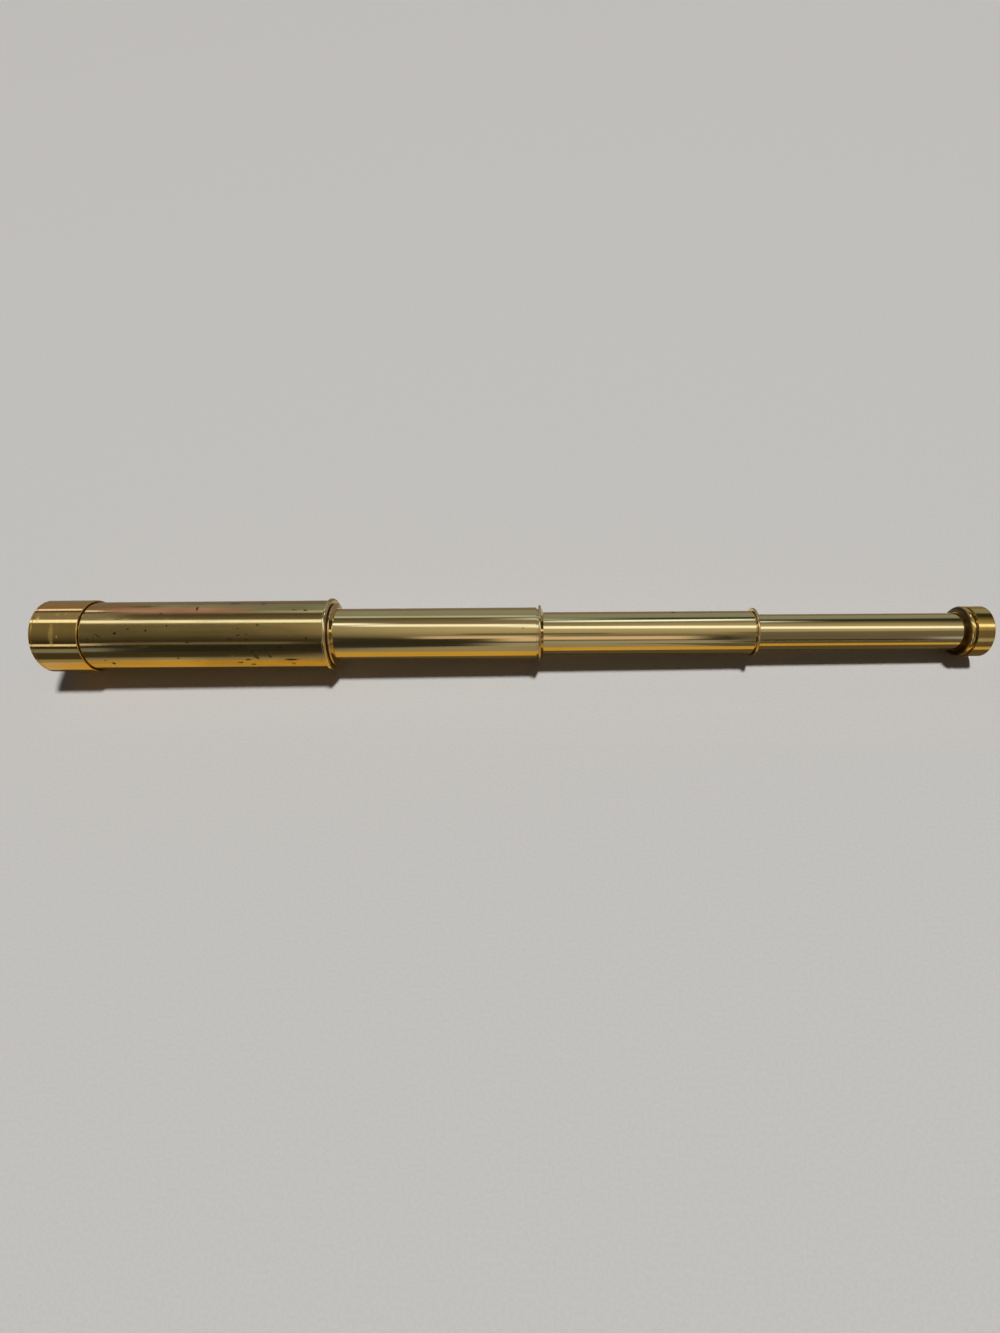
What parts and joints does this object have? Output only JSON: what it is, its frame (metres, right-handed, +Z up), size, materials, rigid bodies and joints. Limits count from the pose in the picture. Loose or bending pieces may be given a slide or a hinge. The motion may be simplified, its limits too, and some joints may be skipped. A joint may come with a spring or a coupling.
{
  "type": "spyglass",
  "caption": "Collapsible brass spyglass: a barrel with a lens cell and sliding draws with collars, stop rings, erector, eyepiece and eyecup.",
  "frame": {"origin": "on the optical axis, in the plane of the rim in front of the object lens", "axes": "+X along the optical axis towards the eye, with the draws pulled out; +Z up and square to the axis as the spyglass lies on its side"},
  "size_m": [0.5545, 0.044, 0.044],
  "materials": {
    "barrel_brass": "aged brass tube, dull, with specks, stains and fine scratches",
    "cell_brass": "turned brass, satin, lightly aged",
    "draw_brass": "polished drawn brass with fine lengthwise wear from sliding",
    "collar_brass": "turned brass, bright on its rims",
    "eyecup_brass": "turned brass, satin, darker in its groove and dish",
    "inner_brass": "plain machined brass, lightly greased",
    "blackened_brass": "brass blackened matt against glare",
    "lens_glass": "polished clear glass"
  },
  "bodies": {
    "barrel": {"objective_cell": "cell_brass", "objective_crown_lens": "lens_glass", "objective_flint_lens": "lens_glass", "objective_lens_ring": "blackened_brass", "main_barrel": "barrel_brass", "barrel_collar": "collar_brass", "barrel_guide_sleeve": "inner_brass"},
    "draw_1": {"draw_1_tube": "draw_brass", "draw_1_stop_ring": "inner_brass", "draw_1_glare_stop": "blackened_brass", "draw_1_collar": "collar_brass", "draw_1_guide_sleeve": "inner_brass"},
    "draw_2": {"draw_2_tube": "draw_brass", "draw_2_stop_ring": "inner_brass", "draw_2_glare_stop": "blackened_brass", "draw_2_collar": "collar_brass", "draw_2_guide_sleeve": "inner_brass"},
    "draw_3": {"draw_3_tube": "draw_brass", "draw_3_stop_ring": "inner_brass", "erector_tube": "blackened_brass", "erector_front_lens": "lens_glass", "erector_front_ring": "blackened_brass", "erector_stop": "blackened_brass", "erector_rear_lens": "lens_glass", "erector_rear_ring": "blackened_brass", "eyepiece_tube": "blackened_brass", "field_lens": "lens_glass", "field_lens_ring": "blackened_brass", "field_stop": "blackened_brass", "eye_lens": "lens_glass", "eye_lens_ring": "blackened_brass", "eyecup": "eyecup_brass"}
  },
  "joints": [
    {"name": "draw_1_slide", "type": "slide", "parent": "barrel", "child": "draw_1", "axis": [1, 0, 0], "range_m": [-0.1203, 0]},
    {"name": "draw_2_slide", "type": "slide", "parent": "draw_1", "child": "draw_2", "axis": [1, 0, 0], "range_m": [-0.1213, 0]},
    {"name": "draw_3_slide", "type": "slide", "parent": "draw_2", "child": "draw_3", "axis": [1, 0, 0], "range_m": [-0.1134, 0]}
  ]
}
